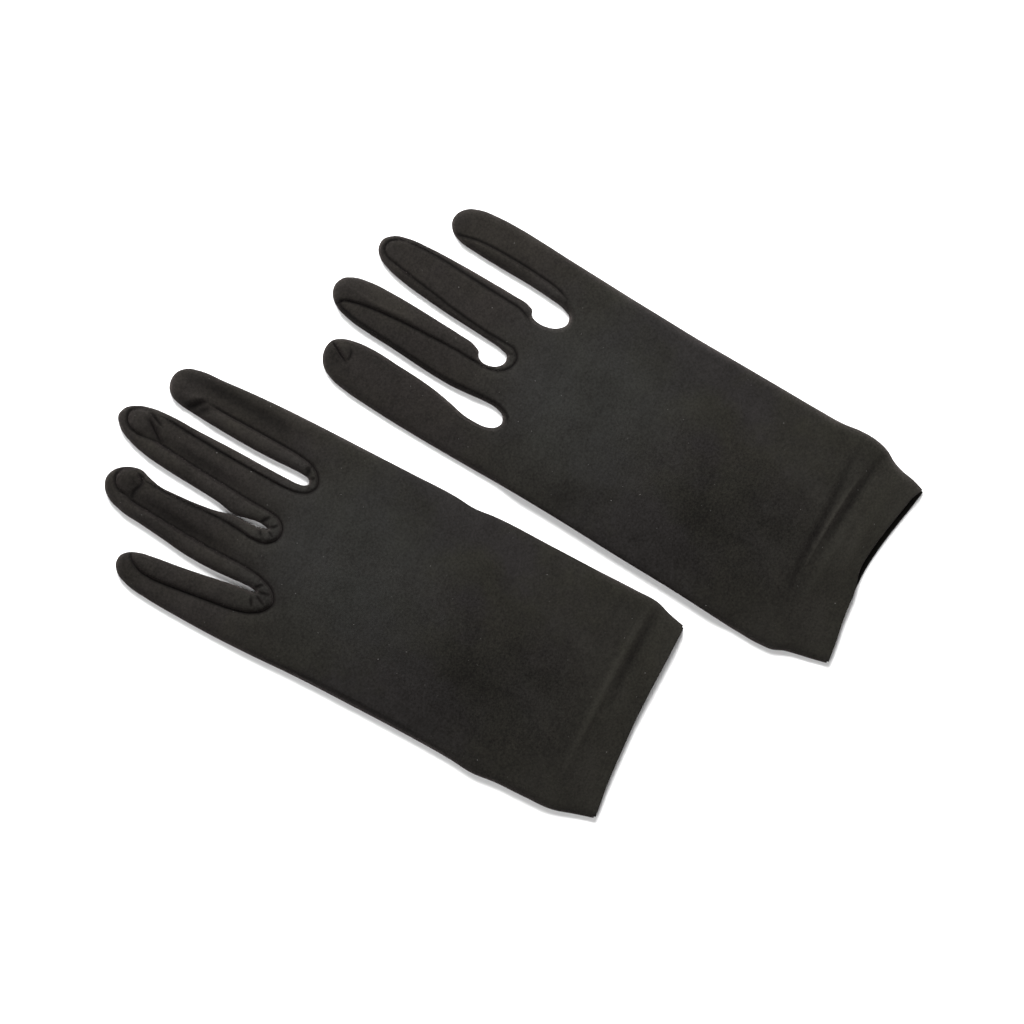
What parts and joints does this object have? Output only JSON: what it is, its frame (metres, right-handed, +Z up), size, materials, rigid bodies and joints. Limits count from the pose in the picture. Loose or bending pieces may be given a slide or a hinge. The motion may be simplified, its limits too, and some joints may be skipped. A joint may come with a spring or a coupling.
{
  "type": "pair of knit gloves",
  "caption": "Pair of plain wrist-length knit gloves laid flat, palms down, with tucked thumbs, fourchettes between the fingers and turned-up hems.",
  "frame": {"origin": "centre of the pair's box, on the surface that the gloves lie on", "axes": "+Y towards the fingertips, +Z up from the palm side to the back of the hands, +X from the left glove to the right glove"},
  "size_m": [0.1922, 0.2816, 0.0109],
  "materials": {
    "trank_knit": "matt black fine knit",
    "fourchette_knit": "matt black fine knit, cut on the cross",
    "thumb_knit": "matt black fine knit",
    "hem_knit": "matt black fine knit, doubled and stitched"
  },
  "bodies": {
    "left_glove": {"left_trank_back": "trank_knit", "left_trank_palm": "trank_knit", "left_trank_fold": "trank_knit", "left_side_seam": "trank_knit", "left_hem_back": "hem_knit", "left_hem_palm": "hem_knit", "left_crotch_little_ring": "fourchette_knit", "left_crotch_ring_middle": "fourchette_knit", "left_crotch_middle_index": "fourchette_knit"},
    "left_little_finger": {"left_little_back": "trank_knit", "left_little_palm": "trank_knit", "left_little_side_seam": "trank_knit", "left_little_fourchette": "fourchette_knit"},
    "left_ring_finger": {"left_ring_back": "trank_knit", "left_ring_palm": "trank_knit", "left_ring_outer_fourchette": "fourchette_knit", "left_ring_inner_fourchette": "fourchette_knit"},
    "left_middle_finger": {"left_middle_back": "trank_knit", "left_middle_palm": "trank_knit", "left_middle_outer_fourchette": "fourchette_knit", "left_middle_inner_fourchette": "fourchette_knit"},
    "left_index_finger": {"left_index_back": "trank_knit", "left_index_palm": "trank_knit", "left_index_fourchette": "fourchette_knit", "left_index_fold": "trank_knit"},
    "left_thumb": {"left_thumb_back": "thumb_knit", "left_thumb_palm": "thumb_knit", "left_thumb_seam_strip": "thumb_knit", "left_thumb_fold": "thumb_knit"},
    "right_glove": {"right_trank_back": "trank_knit", "right_trank_palm": "trank_knit", "right_trank_fold": "trank_knit", "right_side_seam": "trank_knit", "right_hem_back": "hem_knit", "right_hem_palm": "hem_knit", "right_crotch_little_ring": "fourchette_knit", "right_crotch_ring_middle": "fourchette_knit", "right_crotch_middle_index": "fourchette_knit"},
    "right_little_finger": {"right_little_back": "trank_knit", "right_little_palm": "trank_knit", "right_little_side_seam": "trank_knit", "right_little_fourchette": "fourchette_knit"},
    "right_ring_finger": {"right_ring_back": "trank_knit", "right_ring_palm": "trank_knit", "right_ring_outer_fourchette": "fourchette_knit", "right_ring_inner_fourchette": "fourchette_knit"},
    "right_middle_finger": {"right_middle_back": "trank_knit", "right_middle_palm": "trank_knit", "right_middle_outer_fourchette": "fourchette_knit", "right_middle_inner_fourchette": "fourchette_knit"},
    "right_index_finger": {"right_index_back": "trank_knit", "right_index_palm": "trank_knit", "right_index_fourchette": "fourchette_knit", "right_index_fold": "trank_knit"},
    "right_thumb": {"right_thumb_back": "thumb_knit", "right_thumb_palm": "thumb_knit", "right_thumb_seam_strip": "thumb_knit", "right_thumb_fold": "thumb_knit"}
  },
  "joints": [
    {"name": "right_glove_lift", "type": "slide", "parent": "left_glove", "child": "right_glove", "axis": [0, 0, 1], "range_m": [0, 0.12]},
    {"name": "left_little_knuckle", "type": "hinge", "parent": "left_glove", "child": "left_little_finger", "pos_m": [-0.08542, 0.07029, 0.003], "axis": [0.9998, 0.0218, 0], "range_deg": [0, 90]},
    {"name": "left_ring_knuckle", "type": "hinge", "parent": "left_glove", "child": "left_ring_finger", "pos_m": [-0.06283, 0.07578, 0.003], "axis": [0.9998, 0.0218, 0], "range_deg": [0, 90]},
    {"name": "left_middle_knuckle", "type": "hinge", "parent": "left_glove", "child": "left_middle_finger", "pos_m": [-0.04074, 0.07626, 0.003], "axis": [0.9998, 0.0218, 0], "range_deg": [0, 90]},
    {"name": "left_index_knuckle", "type": "hinge", "parent": "left_glove", "child": "left_index_finger", "pos_m": [-0.01688, 0.07178, 0.003], "axis": [0.9998, 0.0218, 0], "range_deg": [0, 90]},
    {"name": "left_thumb_swing", "type": "hinge", "parent": "left_glove", "child": "left_thumb", "pos_m": [-0.02027, -0.02532, 0.0014], "axis": [0, 0, -1], "range_deg": [0, 36]},
    {"name": "right_little_knuckle", "type": "hinge", "parent": "right_glove", "child": "right_little_finger", "pos_m": [0.08678, 0.01514, 0.003], "axis": [0.9998, -0.0218, 0], "range_deg": [0, 90]},
    {"name": "right_ring_knuckle", "type": "hinge", "parent": "right_glove", "child": "right_ring_finger", "pos_m": [0.06353, 0.02665, 0.003], "axis": [0.9998, -0.0218, 0], "range_deg": [0, 90]},
    {"name": "right_middle_knuckle", "type": "hinge", "parent": "right_glove", "child": "right_middle_finger", "pos_m": [0.03978, 0.02717, 0.003], "axis": [0.9998, -0.0218, 0], "range_deg": [0, 90]},
    {"name": "right_index_knuckle", "type": "hinge", "parent": "right_glove", "child": "right_index_finger", "pos_m": [0.01511, 0.01971, 0.003], "axis": [0.9998, -0.0218, 0], "range_deg": [0, 90]},
    {"name": "right_thumb_swing", "type": "hinge", "parent": "right_glove", "child": "right_thumb", "pos_m": [0.01979, -0.07542, 0.0014], "axis": [0, 0, 1], "range_deg": [0, 36]}
  ]
}
